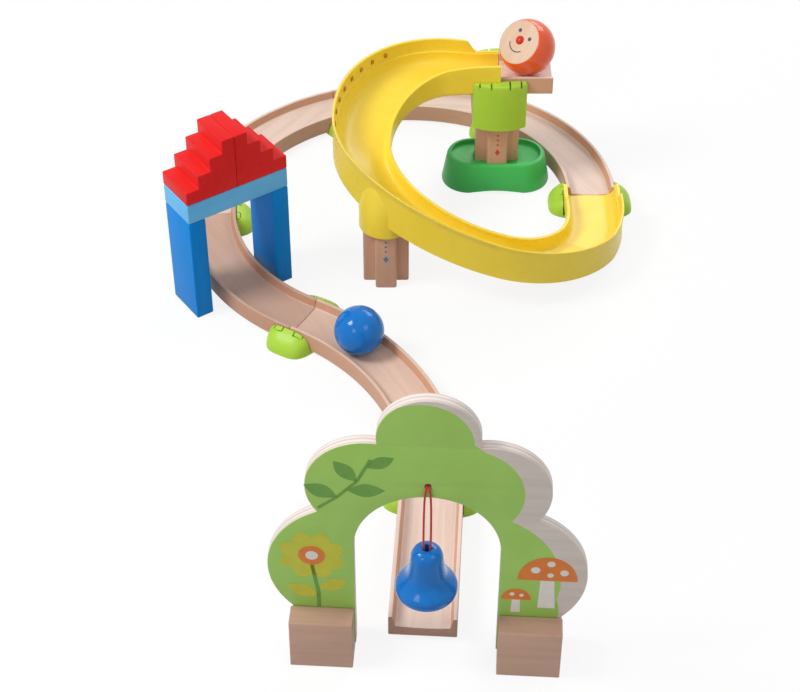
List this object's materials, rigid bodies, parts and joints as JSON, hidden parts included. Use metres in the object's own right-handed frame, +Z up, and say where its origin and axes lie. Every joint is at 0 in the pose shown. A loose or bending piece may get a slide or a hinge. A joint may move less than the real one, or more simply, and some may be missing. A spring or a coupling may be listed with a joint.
{
  "type": "ball track toy",
  "caption": "Wooden ball track toy: a start board and banked spiral chute on pillars, a curved channel loop through a block house, and a tree-shaped gate with a hanging bell.",
  "frame": {"origin": "bottom centre of the bounding box, on the floor", "axes": "+Y away from the gate towards the back of the loop, +X to the right seen from the gate, +Z up"},
  "size_m": [0.46, 0.7936, 0.259],
  "materials": {
    "beech": "smooth bare beech",
    "yellow_plastic": "satin moulded",
    "light_green_plastic": "satin moulded",
    "dark_green_plastic": "satin moulded",
    "blue_paint": "satin paint on wood",
    "pale_blue_paint": "satin paint on wood",
    "red_paint": "satin paint on wood",
    "gloss_blue": "gloss lacquer on wood",
    "orange_lacquer": "gloss lacquer on wood with a bare face",
    "leaf_print": "print on plywood",
    "red_cord": "twisted cord"
  },
  "bodies": {
    "base": {"curve_track_1": "beech", "curve_track_2": "beech", "curve_track_3": "beech", "curve_track_4": "beech", "curve_track_5": "beech", "end_track": "beech", "spiral_chute": "yellow_plastic", "start_board": "beech", "track_connector_1": "light_green_plastic", "track_connector_2": "light_green_plastic", "track_connector_3": "light_green_plastic", "track_connector_4": "light_green_plastic", "track_connector_5": "light_green_plastic", "track_connector_6": "light_green_plastic", "rear_pillar": "beech", "front_pillar": "beech", "pillar_foot": "dark_green_plastic", "pillar_head": "light_green_plastic", "post_left": "blue_paint", "post_right": "blue_paint", "tree_arch": "leaf_print", "gate_foot_left": "beech", "gate_foot_right": "beech"},
    "lintel": {"lintel": "pale_blue_paint"},
    "roof_left": {"roof_left": "red_paint"},
    "roof_right": {"roof_right": "red_paint"},
    "hung_cord": {"bell_cord": "red_cord", "cord_knot": "red_cord"},
    "bell": {"bell": "gloss_blue"},
    "clapper": {"bell_clapper": "gloss_blue"},
    "blue_ball": {"blue_ball": "gloss_blue"},
    "face_ball": {"face_ball": "orange_lacquer", "face_nose": "red_paint"}
  },
  "joints": [
    {"name": "cord_swing", "type": "hinge", "parent": "base", "child": "hung_cord", "pos_m": [0.01722, -0.37065, 0.178], "axis": [0.061, 0.9981, 0], "range_deg": [-13, 13]},
    {"name": "bell_tip", "type": "hinge", "parent": "hung_cord", "child": "bell", "pos_m": [0.0171, -0.37255, 0.1121], "axis": [0.9981, -0.061, 0], "range_deg": [-12, 12]},
    {"name": "clapper_swing", "type": "hinge", "parent": "bell", "child": "clapper", "pos_m": [0.0171, -0.37255, 0.104], "axis": [0.9981, -0.061, 0], "range_deg": [-16, 16]},
    {"name": "blue_ball_roll", "type": "hinge", "parent": "base", "child": "blue_ball", "pos_m": [-0.20536, -0.19271, 0], "axis": [0, 0, 1], "range_deg": [-42, 14]},
    {"name": "face_ball_roll", "type": "slide", "parent": "base", "child": "face_ball", "axis": [-1, 0, 0], "range_m": [0, 0.016]},
    {"name": "lintel_lift", "type": "slide", "parent": "base", "child": "lintel", "axis": [0, 0, 1], "range_m": [0, 0.05]},
    {"name": "roof_left_lift", "type": "slide", "parent": "lintel", "child": "roof_left", "axis": [0, 0, 1], "range_m": [0, 0.03]},
    {"name": "roof_right_lift", "type": "slide", "parent": "lintel", "child": "roof_right", "axis": [0, 0, 1], "range_m": [0, 0.03]}
  ]
}
